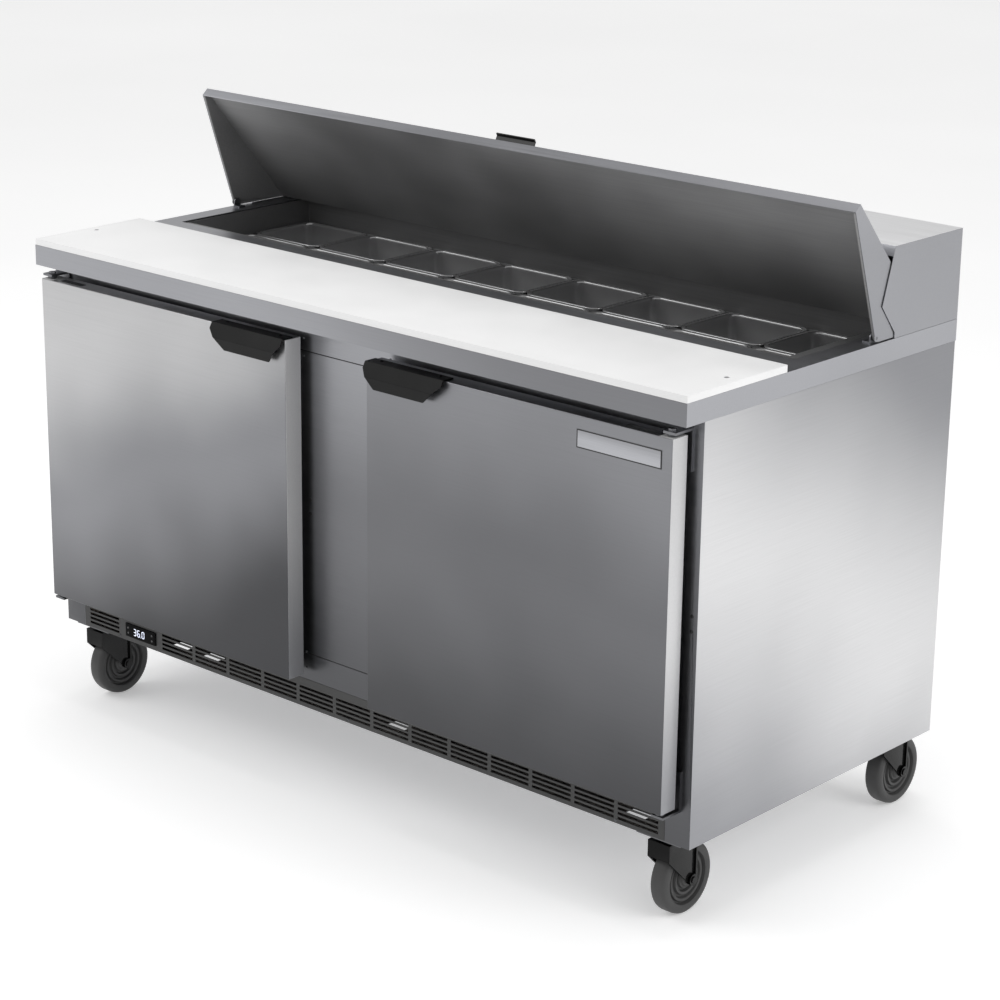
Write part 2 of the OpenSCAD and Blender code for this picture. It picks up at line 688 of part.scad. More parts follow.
module fork_leg() {
    polygon([[-30, fork_z - 1], [trail + 9, fork_z - 1], [trail + 9, wheel_r - 3], [trail + 5, wheel_r - 8],
        [trail - 1, wheel_r - 9], [trail - 6, wheel_r - 6], [-30, fork_z - 30]]);
}
module fork(s, back) {
    inner = wheel_w / 2 + 3;
    leg = 3.5;
    outer = inner + leg;
    color("black") at_caster(s, back) difference() {
        union() {
            translate([0, 0, fork_z - 4]) cylinder(r = 28, h = 4);
            both() {
                along_x(inner, outer) fork_leg();
                // flange folded out along the leg's back edge
                block([outer - 1, outer + 4], [trail + 5.5, trail + 9], [wheel_r + 6, fork_z - 6]);
                rod_x(inner, outer + 5, trail, wheel_r, axle_r + 4);
            }
            block([-outer, outer], [-30, 27], [fork_z - 4, fork_z - 0.5]);
            block([-outer, outer], [-30, -26.5], [fork_z - 30, fork_z - 1]);
            rod_x(-outer - 7, outer + 7, trail, wheel_r, axle_r);
        }
        translate([0, 0, fork_z - 20]) cylinder(r = king_r + 0.05, h = 30);
    }
}
module wheel(s, back) {
    w = wheel_w / 2;
    r = wheel_r;
    color("dimgray") at_caster(s, back) translate([0, trail, wheel_r]) rotate([0, 90, 0])
        rotate_extrude($fn = 96)
            polygon([[axle_r + 0.05, -w - 1], [15, -w - 1], [15, -w + 3], [22, -w + 6], [r * 0.62, -w + 6],
                [r * 0.7, -w], [r - 5, -w], [r - 1.2, -w + 3], [r, -w + 8], [r, w - 8], [r - 1.2, w - 3],
                [r - 5, w], [r * 0.7, w], [r * 0.62, w - 6], [22, w - 6], [15, w - 3], [15, w + 1],
                [axle_r + 0.05, w + 1]]);
}
brake_y = 20;
brake_z = fork_z - 9;
module brake_lever(s) {
    color("dimgray") at_caster(s, 0) translate([0, brake_y, brake_z]) {
        along_x(-13, 13) polygon([[-5, -3.4], [8, -3.4], [20, 0], [64, -3], [70, -1], [70, 1.5], [64, 1],
            [20, 5], [4, 3.6], [-5, 3.6]]);
        rod_x(-18, 18, 0, 0, 3.6);
    }
}

side_panels();
back_panel();
base_pan();
front_frame();
cabinet_liner();
cabinet_foam();
worktop();
pan_well();
cutting_board();
rear_hood();
lid_shell();
lid_liner();
lid_handle();
lid_hinge_pins();
door_skin(-1);  // left_door_skin
door_core(-1);  // left_door_core
door_gasket(-1);  // left_door_gasket
door_handle(-1);  // left_door_handle
door_skin(1);  // right_door_skin
door_core(1);  // right_door_core
door_gasket(1);  // right_door_gasket
door_handle(1);  // right_door_handle
door_hinges();
lower_grille();
display_controller();
shelf(-1);  // left_shelf
shelf(1);  // right_shelf
compressor();
condenser_unit();
condenser_fan();
evaporator_unit();
evaporator_fan();
cord_gland();
caster_plates();
fork(-1, 0);  // front_left_fork
fork(1, 0);  // front_right_fork
fork(-1, 1);  // back_left_fork
fork(1, 1);  // back_right_fork
wheel(-1, 0);  // front_left_wheel
wheel(1, 0);  // front_right_wheel
wheel(-1, 1);  // back_left_wheel
wheel(1, 1);  // back_right_wheel
brake_lever(-1);  // left_brake_lever
brake_lever(1);  // right_brake_lever
for (i = [1:2 * pan_cols]) pan(i);
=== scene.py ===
import math

import bmesh
import bpy
from mathutils import Matrix, Vector


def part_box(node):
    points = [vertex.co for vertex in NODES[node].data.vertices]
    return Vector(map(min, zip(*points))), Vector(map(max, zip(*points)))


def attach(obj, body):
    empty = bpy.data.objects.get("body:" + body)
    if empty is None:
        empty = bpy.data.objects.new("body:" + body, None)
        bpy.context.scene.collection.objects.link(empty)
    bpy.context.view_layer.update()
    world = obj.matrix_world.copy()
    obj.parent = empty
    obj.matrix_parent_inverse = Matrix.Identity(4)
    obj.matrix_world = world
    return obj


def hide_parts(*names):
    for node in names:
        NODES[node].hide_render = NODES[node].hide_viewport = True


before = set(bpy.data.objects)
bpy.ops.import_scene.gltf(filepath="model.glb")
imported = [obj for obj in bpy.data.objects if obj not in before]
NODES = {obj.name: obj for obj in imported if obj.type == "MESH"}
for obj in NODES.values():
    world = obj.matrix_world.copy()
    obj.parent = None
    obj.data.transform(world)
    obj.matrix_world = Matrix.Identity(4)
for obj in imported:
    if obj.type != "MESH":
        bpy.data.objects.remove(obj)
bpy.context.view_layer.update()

MM = 0.001

# Millimetres, back from the worktop's front face or up from the floor.
WORKTOP_FACE = 377.5      # from the worktop's front face to the middle of the table
WORKTOP_TOP = 894
FRAME_FACE = 45           # the face of the frame that the doors close against


def place(x, y, z):
    """A point in millimetres: x from the middle, y back from the worktop's face, z up."""
    return Vector((x * MM, (y - WORKTOP_FACE) * MM, z * MM))


# ---------------------------------------------------------------- camera

CAMERA_ROUND = 41.73      # degrees round from the front, to the right
CAMERA_ABOVE = 17.89      # degrees above level
CAMERA_ROLL = 0.76
CAMERA_DISTANCE = 4.98071
CAMERA_LENS = 99.41
CAMERA_AIM = (34.1, 400, 487.15)


def make_camera():
    """A long lens at the front right, a little above the table."""
    azimuth, elevation = math.radians(CAMERA_ROUND), math.radians(CAMERA_ABOVE)
    roll = math.radians(CAMERA_ROLL)
    back = Vector((math.sin(azimuth) * math.cos(elevation),
                   -math.cos(azimuth) * math.cos(elevation),
                   math.sin(elevation)))
    right = (-back).cross(Vector((0, 0, 1))).normalized()
    up = right.cross(-back)
    right_rolled = right * math.cos(roll) + up * math.sin(roll)
    up_rolled = up * math.cos(roll) - right * math.sin(roll)
    data = bpy.data.cameras.new("camera")
    data.sensor_width = 36.0
    data.lens = CAMERA_LENS
    data.clip_end = 50.0
    camera = bpy.data.objects.new("camera", data)
    bpy.context.scene.collection.objects.link(camera)
    turn = Matrix((right_rolled, up_rolled, back)).transposed().to_4x4()
    where = place(*CAMERA_AIM) + back * CAMERA_DISTANCE
    camera.matrix_world = Matrix.Translation(where) @ turn
    bpy.context.scene.camera = camera


make_camera()


# ---------------------------------------------------------------- shared node groups

def new_group(name, inputs, outputs):
    group = bpy.data.node_groups.new(name, "ShaderNodeTree")
    for label, kind, value in inputs:
        socket = group.interface.new_socket(label, in_out="INPUT", socket_type=kind)
        if value is not None:
            socket.default_value = value
    for label, kind in outputs:
        group.interface.new_socket(label, in_out="OUTPUT", socket_type=kind)
    entry = group.nodes.new("NodeGroupInput")
    leave = group.nodes.new("NodeGroupOutput")
    entry.location = (-900, 0)
    leave.location = (500, 0)
    return group, entry, leave


def math_node(tree, operation, first, second, x=0, y=0):
    """A Math node; each side is a socket or a number."""
    node = tree.nodes.new("ShaderNodeMath")
    node.operation = operation
    node.location = (x, y)
    for slot, value in enumerate((first, second)):
        if isinstance(value, (int, float)):
            node.inputs[slot].default_value = value
        else:
            tree.links.new(value, node.inputs[slot])
    return node.outputs[0]


def blend_colours(tree, amount, first, second, x=0, y=0, how="MIX"):
    """A colour Mix node; each colour is a socket or four numbers."""
    node = tree.nodes.new("ShaderNodeMix")
    node.data_type = "RGBA"
    node.blend_type = how
    node.location = (x, y)
    for key, value in ((0, amount), (6, first), (7, second)):
        if isinstance(value, (int, float, tuple)):
            node.inputs[key].default_value = value
        else:
            tree.links.new(value, node.inputs[key])
    return node.outputs[2]


def make_brushing_group():
    """Fine brushing lines and slow clouding of rolled sheet steel."""
    group, entry, leave = new_group(
        "brushing",
        [("Stretch", "NodeSocketVector", (8.0, 500.0, 500.0)),
         ("Cloud Scale", "NodeSocketFloat", 3.0)],
        [("Lines", "NodeSocketFloat"), ("Clouds", "NodeSocketFloat")])
    links = group.links
    coords = group.nodes.new("ShaderNodeTexCoord")
    coords.location = (-900, 200)
    stretch = group.nodes.new("ShaderNodeVectorMath")
    stretch.operation = "MULTIPLY"
    stretch.location = (-650, 200)
    links.new(coords.outputs["Object"], stretch.inputs[0])
    links.new(entry.outputs["Stretch"], stretch.inputs[1])
    lines = group.nodes.new("ShaderNodeTexNoise")
    lines.location = (-420, 200)
    lines.inputs["Scale"].default_value = 1.0
    lines.inputs["Detail"].default_value = 3.0
    lines.inputs["Roughness"].default_value = 0.65
    links.new(stretch.outputs[0], lines.inputs["Vector"])
    clouds = group.nodes.new("ShaderNodeTexNoise")
    clouds.location = (-420, -120)
    clouds.inputs["Detail"].default_value = 2.0
    links.new(coords.outputs["Object"], clouds.inputs["Vector"])
    links.new(entry.outputs["Cloud Scale"], clouds.inputs["Scale"])
    links.new(lines.outputs["Fac"], leave.inputs["Lines"])
    links.new(clouds.outputs["Fac"], leave.inputs["Clouds"])
    return group


def make_height_tone_group():
    """A painted band of light and reflection: a tone that runs from a lower to an upper height,
    with a middle tone between.
    """
    group, entry, leave = new_group(
        "height_tone",
        [("Low Z", "NodeSocketFloat", 0.0), ("High Z", "NodeSocketFloat", 1.0),
         ("Low", "NodeSocketColor", None), ("Middle", "NodeSocketColor", None),
         ("High", "NodeSocketColor", None),
         ("Waver", "NodeSocketFloat", 0.0)],
        [("Color", "NodeSocketColor")])
    links = group.links
    coords = group.nodes.new("ShaderNodeTexCoord")
    coords.location = (-900, 250)
    split = group.nodes.new("ShaderNodeSeparateXYZ")
    split.location = (-700, 250)
    links.new(coords.outputs["Object"], split.inputs[0])
    low_z, high_z = entry.outputs["Low Z"], entry.outputs["High Z"]
    height = math_node(group, "ADD", split.outputs["Z"], entry.outputs["Waver"], -520, 250)
    lower = group.nodes.new("ShaderNodeMapRange")
    lower.location = (-300, 250)
    lower.interpolation_type = "SMOOTHSTEP"
    links.new(height, lower.inputs["Value"])
    both = math_node(group, "ADD", low_z, high_z, -520, 0)
    middle = math_node(group, "MULTIPLY", both, 0.5, -400, 0)
    links.new(low_z, lower.inputs["From Min"])
    links.new(middle, lower.inputs["From Max"])
    upper = group.nodes.new("ShaderNodeMapRange")
    upper.location = (-300, -50)
    upper.interpolation_type = "SMOOTHSTEP"
    links.new(height, upper.inputs["Value"])
    links.new(middle, upper.inputs["From Min"])
    links.new(high_z, upper.inputs["From Max"])
    first = blend_colours(group, lower.outputs[0], entry.outputs["Low"],
                          entry.outputs["Middle"], 0, 200)
    second = blend_colours(group, upper.outputs[0], first, entry.outputs["High"], 200, 100)
    links.new(second, leave.inputs["Color"])
    return group


def make_speckle_group():
    """The fine grain of moulded plastic, rubber and powder coat."""
    group, entry, leave = new_group(
        "speckle",
        [("Scale", "NodeSocketFloat", 300.0), ("Patch Scale", "NodeSocketFloat", 6.0)],
        [("Grain", "NodeSocketFloat"), ("Patches", "NodeSocketFloat")])
    links = group.links
    coords = group.nodes.new("ShaderNodeTexCoord")
    grain = group.nodes.new("ShaderNodeTexNoise")
    grain.inputs["Detail"].default_value = 4.0
    patches = group.nodes.new("ShaderNodeTexNoise")
    patches.inputs["Detail"].default_value = 2.0
    coords.location, grain.location, patches.location = (-700, 0), (-400, 150), (-400, -150)
    links.new(coords.outputs["Object"], grain.inputs["Vector"])
    links.new(coords.outputs["Object"], patches.inputs["Vector"])
    links.new(entry.outputs["Scale"], grain.inputs["Scale"])
    links.new(entry.outputs["Patch Scale"], patches.inputs["Scale"])
    links.new(grain.outputs["Fac"], leave.inputs["Grain"])
    links.new(patches.outputs["Fac"], leave.inputs["Patches"])
    return group


BRUSHING = make_brushing_group()
HEIGHT_TONE = make_height_tone_group()
SPECKLE = make_speckle_group()


# ---------------------------------------------------------------- materials

def new_material(name):
    """A new material, with its nodes and its shader."""
    material = bpy.data.materials.new(name)
    material.use_nodes = True
    tree = material.node_tree
    shader = tree.nodes["Principled BSDF"]
    return material, tree, shader


def use_group(tree, group, x, y, **values):
    """Places a group in a material with its own values."""
    node = tree.nodes.new("ShaderNodeGroup")
    node.node_tree = group
    node.location = (x, y)
    for label, value in values.items():
        node.inputs[label.replace("_", " ")].default_value = value
    return node


def grey(level, warm=0.0):
    """A neutral linear colour from a level between 0 and 1 as it looks on a screen."""
    linear = level ** 2.2
    return (linear * (1 + warm), linear, linear * (1 - warm), 1.0)


COOL_BELOW = 0.7          # steel darker than this has the cooler colour


def steel_grey(level, cool=True):
    """Darker tones of steel, painted shade on the doors and frame, get a slightly cooler colour
    than bright ones.
    """
    red, green, blue, solid = grey(level)
    if cool and level < COOL_BELOW:
        return (red * 0.99, green, blue * 1.055, solid)
    return (red, green, blue * 1.01, solid)


def spread(tree, socket, low, high, x, y):
    """Carries a noise, which lies mostly between 0.3 and 0.7, to a range."""
    node = tree.nodes.new("ShaderNodeMapRange")
    node.location = (x, y)
    node.inputs["From Min"].default_value = 0.3
    node.inputs["From Max"].default_value = 0.7
    node.inputs["To Min"].default_value = low
    node.inputs["To Max"].default_value = high
    tree.links.new(socket, node.inputs["Value"])
    return node.outputs[0]


def bump(tree, socket, distance, strength, shader):
    """Raises the surface slightly by a height socket."""
    node = tree.nodes.new("ShaderNodeBump")
    node.location = (0, -400)
    node.inputs["Distance"].default_value = distance
    node.inputs["Strength"].default_value = strength
    tree.links.new(socket, node.inputs["Height"])
    tree.links.new(node.outputs["Normal"], shader.inputs["Normal"])


def lean_tone(tree, waver, lean):
    """Leans the painted bands of light and shade: metres of height gained for each metre along x
    and y.
    """
    coords = tree.nodes.new("ShaderNodeTexCoord")
    coords.location = (-1100, 500)
    along = tree.nodes.new("ShaderNodeVectorMath")
    along.operation = "DOT_PRODUCT"
    along.location = (-900, 500)
    along.inputs[1].default_value = (lean[0], lean[1], 0)
    tree.links.new(coords.outputs["Object"], along.inputs[0])
    return math_node(tree, "ADD", along.outputs["Value"], waver, -750, 450)


BRUSHED_ALONG_X = (6, 420, 420)
BRUSHED_UPRIGHT = (420, 6, 420)


def sheet_steel(name, low, middle, high, heights, stretch=BRUSHED_ALONG_X, rough=(0.28, 0.42),
                lines=0.10, clouds=0.05, waver=0.0, metallic=1.0, lean=None, cool=True):
    """Brushed sheet steel: painted light and shade as levels at two heights and midway, with
    brushing and faint clouding.
    """
    material, tree, shader = new_material(name)
    brushing = use_group(tree, BRUSHING, -900, 0, Stretch=stretch, Cloud_Scale=2.5)
    tone = use_group(tree, HEIGHT_TONE, -600, 250, Low_Z=heights[0], High_Z=heights[1],
                     Low=steel_grey(low, cool), Middle=steel_grey(middle, cool),
                     High=steel_grey(high, cool))
    if waver or lean:
        shift = spread(tree, brushing.outputs["Clouds"], -waver, waver, -750, 250)
        tree.links.new(lean_tone(tree, shift, lean) if lean else shift, tone.inputs["Waver"])
    streaks = spread(tree, brushing.outputs["Lines"], 1 - lines, 1 + lines * 0.4, -600, 0)
    patches = spread(tree, brushing.outputs["Clouds"], 1 - clouds, 1 + clouds * 0.4, -600, -150)
    shade = math_node(tree, "MULTIPLY", streaks, patches, -400, 0)
    combined = tree.nodes.new("ShaderNodeCombineColor")
    combined.location = (-200, 0)
    for channel in range(3):
        tree.links.new(shade, combined.inputs[channel])
    colour = blend_colours(tree, 1.0, tone.outputs["Color"], combined.outputs[0], 0, 200,
                           "MULTIPLY")
    tree.links.new(colour, shader.inputs["Base Color"])
    tree.links.new(spread(tree, brushing.outputs["Lines"], rough[0], rough[1], -200, -200),
                   shader.inputs["Roughness"])
    bump(tree, brushing.outputs["Lines"], 0.0002, 0.12, shader)
    shader.inputs["Metallic"].default_value = metallic
    return material


def coated(name, level, rough, grain=350.0, patch=0.12, bump_strength=0.15, metallic=0.0, coat=0.0,
           warm=0.0, specular=0.5):
    """Moulded plastic, powder coat, rubber or painted steel with a fine grain and uneven gloss."""
    material, tree, shader = new_material(name)
    speckle = use_group(tree, SPECKLE, -700, 0, Scale=grain, Patch_Scale=7.0)
    patches = speckle.outputs["Patches"]
    low = tuple(c * (1 - patch) for c in grey(level, warm)[:3]) + (1.0,)
    high = tuple(min(1.0, c * (1 + patch)) for c in grey(level, warm)[:3]) + (1.0,)
    colour = blend_colours(tree, spread(tree, patches, 0, 1, -450, 200), low, high, -200, 200)
    tree.links.new(colour, shader.inputs["Base Color"])
    tree.links.new(spread(tree, patches, rough * 0.85, min(1.0, rough * 1.15), -450, 0),
                   shader.inputs["Roughness"])
    bump(tree, speckle.outputs["Grain"], 0.0003, bump_strength, shader)
    shader.inputs["Metallic"].default_value = metallic
    shader.inputs["Coat Weight"].default_value = coat
    shader.inputs["Specular IOR Level"].default_value = specular
    return material


# Steel: levels low, midway and high, then the two heights in metres. On the doors, door edges,
# frame, posts, sides, worktop front, lid, well and pans these bands of level are painted reflection
# and painted shade.
LEFT_DOOR_STEEL = sheet_steel("left_door_steel", 0.30, 0.54, 0.80, (0.38, 1.02), lines=0.05,
                              waver=0.04, lean=(-0.4, 0))
RIGHT_DOOR_STEEL = sheet_steel("right_door_steel", 0.31, 0.43, 0.57, (0.22, 0.86), lines=0.05,
                               waver=0.04)
# Lighter, less metallic copy of the door steel for the doors' side faces: painted light by facing.
DOOR_EDGE_STEEL = sheet_steel("door_edge_steel", 0.58, 0.80, 0.80, (0.22, 0.86), lines=0.05,
                              metallic=0.35)
FRAME_STEEL = sheet_steel("frame_steel", 0.36, 0.46, 0.62, (0.2, 0.86), lines=0.06)
SIDE_STEEL = sheet_steel("side_steel", 0.61, 0.84, 0.57, (0.0, 1.0), stretch=BRUSHED_UPRIGHT,
                         lines=0.06, waver=0.05, lean=(0, 0.54))
# Worktop top and front as separate tones, the front darker towards the right: painted light and
# shade by facing.
TOP_STEEL = sheet_steel("top_steel", 0.66, 0.68, 0.68, (0.8, 1.1), lines=0.06)
FACE_STEEL = sheet_steel("worktop_face_steel", 0.66, 0.64, 0.50, (-0.1, 1.35), lines=0.06,
                         lean=(1, 0))
# Front faces of the side panels: a darker copy of the side steel, painted shade by facing.
POST_STEEL = sheet_steel("post_steel", 0.36, 0.46, 0.60, (0.15, 0.86), lines=0.05)
# Top faces of the hood painted nearly white against mid-grey sides: painted highlight by facing.
HOOD_STEEL = sheet_steel("hood_steel", 0.96, 0.97, 0.98, (0.9, 1.1), lines=0.04)
SIDE_HOOD_STEEL = sheet_steel("hood_side_steel", 0.64, 0.65, 0.66, (0.9, 1.1), lines=0.06)
# Lid top darker towards the right, its ends a separate tone: painted light and shade by facing.
LID_STEEL = sheet_steel("lid_steel", 0.68, 0.55, 0.50, (0.3, 1.8), lines=0.06, lean=(1, 0))
LID_END_STEEL = sheet_steel("lid_end_steel", 0.62, 0.64, 0.68, (0.9, 1.15), lines=0.06)
LINER_STEEL = sheet_steel("liner_steel", 0.54, 0.56, 0.60, (0.9, 1.15), rough=(0.4, 0.6),
                          lines=0.14, clouds=0.5, metallic=0.25, cool=False)
WELL_STEEL = sheet_steel("well_steel", 0.38, 0.40, 0.46, (0.7, 0.9), rough=(0.3, 0.45),
                         metallic=0.5, cool=False)
PAN_STEEL = sheet_steel("pan_steel", 0.86, 0.80, 0.66, (0.75, 0.845), stretch=(30, 30, 30),
                        rough=(0.14, 0.22), lines=0.04, clouds=0.12, metallic=0.62, cool=False)
GALVANISED = sheet_steel("galvanised", 0.58, 0.62, 0.64, (0.1, 0.9), stretch=(40, 40, 40),
                         rough=(0.4, 0.55), clouds=0.2)
ALUMINIUM = sheet_steel("liner_aluminium", 0.74, 0.76, 0.78, (0.2, 0.9), rough=(0.35, 0.5))
COIL = sheet_steel("coil_aluminium", 0.6, 0.66, 0.7, (0.1, 0.6), stretch=(900, 6, 6), lines=0.5)
ZINC = sheet_steel("zinc_steel", 0.42, 0.46, 0.50, (0.1, 0.9), stretch=(60, 60, 60),
                   rough=(0.3, 0.45), clouds=0.2)
PLATE_STEEL = sheet_steel("plate_steel", 0.66, 0.68, 0.70, (0.7, 0.9), rough=(0.3, 0.4))

# Coats, plastics and rubber: level, then roughness.
BOARD = coated("board_white", 0.915, 0.55, grain=900, patch=0.015, bump_strength=0.1)
FOAM = coated("insulation", 0.78, 0.9, grain=500, patch=0.08, bump_strength=0.5, warm=0.12)
BLACK_COAT = coated("black_coat", 0.05, 0.42, grain=1500, patch=0.15, bump_strength=0.25,
                    specular=0.16)
BLACK_PLASTIC = coated("black_plastic", 0.11, 0.42, grain=900)
MACHINE_BLACK = coated("machine_black", 0.14, 0.3, grain=300, coat=0.2)
FORK_BLACK = coated("fork_black", 0.03, 0.3, grain=300, specular=0.12)
# Lighter, glossier copy of the fork black for the forks' side faces: painted sheen.
FORK_SIDE_SHEEN = coated("fork_side_painted_sheen", 0.22, 0.16, grain=300, patch=0.2, metallic=0.8, specular=0.3)
RUBBER = coated("wheel_rubber", 0.24, 0.55, grain=700, bump_strength=0.3)
GASKET = coated("gasket_rubber", 0.30, 0.6, grain=700, patch=0.1)
GRILLE = coated("grille_grey", 0.26, 0.42, grain=800, metallic=0.5)
DISPLAY = coated("display_black", 0.02, 0.35, grain=200, patch=0.1, bump_strength=0.02,
                 specular=0.05)
SHELF_COAT = coated("shelf_white", 0.88, 0.35, grain=600, patch=0.04)
# Dark trim of the name plate, also used for the bottoms of the frame's seam grooves as painted
# shade.
DARK_TRIM_AND_SEAM_SHADE = coated("dark_trim_and_seam_shade", 0.16, 0.4, grain=900)
CAP_PLASTIC = coated("cap_plastic", 0.72, 0.5, grain=900, patch=0.05)
MARK_GREY = coated("mark_grey", 0.55, 0.5, grain=900, patch=0.05)


def glowing(name, strength):
    """White display numbers with a faint unevenness."""
    material, tree, shader = new_material(name)
    speckle = use_group(tree, SPECKLE, -600, 0, Scale=600.0, Patch_Scale=90.0)
    patches = spread(tree, speckle.outputs["Patches"], 0, 1, -400, 0)
    colour = blend_colours(tree, patches, (0.74, 0.80, 1, 1), (0.86, 0.90, 1, 1), -200, 0)
    tree.links.new(colour, shader.inputs["Emission Color"])
    tree.links.new(colour, shader.inputs["Base Color"])
    shader.inputs["Emission Strength"].default_value = strength
    return material


NUMBER_GLOW = glowing("number_glow", 0.75)

# Finishes of the nodes that stay as they are; every other node is replaced by a piece below.
FINISH = {
    "back_panel": GALVANISED, "base_pan": GALVANISED, "cabinet_liner": ALUMINIUM,
    "cabinet_foam": FOAM, "lid_handle": BLACK_PLASTIC, "lid_hinge_pins": ZINC,
    "left_door_core": ALUMINIUM, "right_door_core": ALUMINIUM, "left_door_handle": BLACK_COAT,
    "right_door_handle": BLACK_COAT, "door_hinges": ZINC, "lower_grille": GRILLE,
    "display_controller": DISPLAY, "left_shelf": SHELF_COAT, "right_shelf": SHELF_COAT,
    "compressor": MACHINE_BLACK, "condenser_unit": COIL, "condenser_fan": BLACK_PLASTIC,
    "evaporator_unit": COIL, "evaporator_fan": BLACK_PLASTIC, "cord_gland": BLACK_PLASTIC,
    "caster_plates": ZINC, "left_brake_lever": MACHINE_BLACK, "right_brake_lever": MACHINE_BLACK,
}
FOLD_WIDTH = 0.6          # millimetres
MERGE = 0.00001           # points nearer than this, in metres, are the same point


def finish_cad_nodes():
    """Gives each of these nodes its finish, and folds its sharp edges slightly round."""
    for name, material in FINISH.items():
        node = NODES[name]
        if not node.material_slots:
            node.data.materials.append(material)
        for slot in node.material_slots:
            slot.material = material
        weld = node.modifiers.new("weld", "WELD")
        weld.merge_threshold = MERGE
        bevel = node.modifiers.new("edge", "BEVEL")
        bevel.width = FOLD_WIDTH * MM
        bevel.segments = 2
        bevel.limit_method = "ANGLE"
        bevel.angle_limit = math.radians(40)
        bevel.use_clamp_overlap = True


finish_cad_nodes()


# ---------------------------------------------------------------- modelling tools

def deselect_all():
    bpy.ops.object.select_all(action="DESELECT")


def start_piece(name):
    """Names the new primitive and puts its place into its mesh."""
    piece = bpy.context.object
    piece.name = name
    piece.data.name = name
    bpy.ops.object.transform_apply(location=True, rotation=True, scale=True)
    return piece


def start_block(name, low, high):
    """A block between two opposite corners."""
    deselect_all()
    low, high = Vector(low), Vector(high)
    size = Vector([abs(a - b) for a, b in zip(low, high)])
    bpy.ops.mesh.primitive_cube_add(size=1, location=(low + high) / 2, scale=size)
    return start_piece(name)


def edit(piece):
    """Starts editing a piece."""
    bpy.context.view_layer.objects.active = piece
    bpy.ops.object.mode_set(mode="EDIT")


def leave_edit():
    """Ends editing."""
    bpy.ops.object.mode_set(mode="OBJECT")


def pick(piece, kind, test):
    """Selects, in edit mode, only the vertices, edges or faces that pass a test."""
    bpy.ops.mesh.select_mode(type=kind)
    bpy.ops.mesh.select_all(action="DESELECT")
    mesh = bmesh.from_edit_mesh(piece.data)
    parts = {"VERT": mesh.verts, "EDGE": mesh.edges, "FACE": mesh.faces}[kind]
    for part in parts:
        if test(part):
            part.select_set(True)
    bmesh.update_edit_mesh(piece.data)


def runs_along(axis):
    """A test for the edges that run along x, y or z."""
    index = "xyz".index(axis)
    return lambda edge: abs((edge.verts[0].co - edge.verts[1].co).normalized()[index]) > 0.9


def bevel_picked(width, segments=3, of="EDGES"):
    """Rounds the picked edges or corners."""
    bpy.ops.mesh.bevel(offset=width, segments=segments, affect=of, clamp_overlap=True)


def step_in(inset, rise):
    """Insets the picked face and moves its inner face up or down."""
    bpy.ops.mesh.inset(thickness=inset, depth=0)
    bpy.ops.transform.translate(value=(0, 0, rise))


def apply_modifier(piece, kind, **values):
    """Adds a modifier with its values and applies it."""
    modifier = piece.modifiers.new(kind.lower(), kind)
    for label, value in values.items():
        setattr(modifier, label, value)
    bpy.context.view_layer.objects.active = piece
    bpy.ops.object.modifier_apply(modifier=modifier.name)


def bore(piece, cutter):
    """Cuts a piece with another, which is then removed."""
    apply_modifier(piece, "BOOLEAN", operation="DIFFERENCE", object=cutter, solver="EXACT")
    bpy.data.objects.remove(cutter)


def close_up(piece, face_out=True):
    """Merges doubled points and turns the faces outwards."""
    edit(piece)
    bpy.ops.mesh.select_mode(type="VERT")
    bpy.ops.mesh.select_all(action="SELECT")
    bpy.ops.mesh.remove_doubles(threshold=MERGE)
    if face_out:
        bpy.ops.mesh.normals_make_consistent(inside=False)
    leave_edit()


def settle(piece, body, material, smooth=35, replaces=()):
    """Gives a finished piece its smoothing, material and body, and hides the parts it replaces."""
    deselect_all()
    piece.select_set(True)
    bpy.context.view_layer.objects.active = piece
    bpy.ops.object.shade_smooth_by_angle(angle=math.radians(smooth))
    piece.data.materials.clear()
    piece.data.materials.append(material)
    if replaces:
        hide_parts(*replaces)
    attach(piece, body)
    return piece


def copy_piece(piece, name, move):
    """A copy with its own mesh, moved."""
    deselect_all()
    piece.select_set(True)
    bpy.context.view_layer.objects.active = piece
    bpy.ops.object.duplicate(linked=False)
    copy = bpy.context.object
    copy.name = name
    copy.data.name = name
    copy.location = Vector(move)
    bpy.ops.object.transform_apply(location=True, rotation=False, scale=False)
    return copy


def mirror_copy(piece, name):
    """A copy with its own mesh, mirrored to the other side of the table."""
    copy = copy_piece(piece, name, (0, 0, 0))
    copy.scale = (-1, 1, 1)
    bpy.ops.object.transform_apply(location=False, rotation=False, scale=True)
    close_up(copy)
    return copy


def paint_facing_light(piece, material, test):
    """Adds a material and gives it to the faces that pass a test: a lit or shaded tone, painted
    light and shade.
    """
    piece.data.materials.append(material)
    edit(piece)
    pick(piece, "FACE", test)
    piece.active_material_index = len(piece.data.materials) - 1
    bpy.ops.object.material_slot_assign()
    leave_edit()


def join_pieces(pieces, name):
    """Makes one piece of several."""
    deselect_all()
    for piece in pieces:
        piece.select_set(True)
    bpy.context.view_layer.objects.active = pieces[0]
    bpy.ops.object.join()
    pieces[0].name = name
    pieces[0].data.name = name
    return pieces[0]


def start_outline(name, first):
    """One point, ready in edit mode to be drawn on from."""
    deselect_all()
    bpy.ops.mesh.primitive_plane_add(size=0.01, location=first)
    piece = start_piece(name)
    edit(piece)
    pick(piece, "VERT", lambda v: v.index > 0)
    bpy.ops.mesh.delete(type="VERT")
    pick(piece, "VERT", lambda v: True)
    mesh = bmesh.from_edit_mesh(piece.data)
    mesh.verts.ensure_lookup_table()
    offset = Vector(first) - mesh.verts[0].co
    bpy.ops.transform.translate(value=offset)
    return piece


def draw_to(steps):
    """Draws on from the picked point, one extrusion for each step."""
    for step in steps:
        bpy.ops.mesh.extrude_region_move(TRANSFORM_OT_translate={"value": tuple(step)})


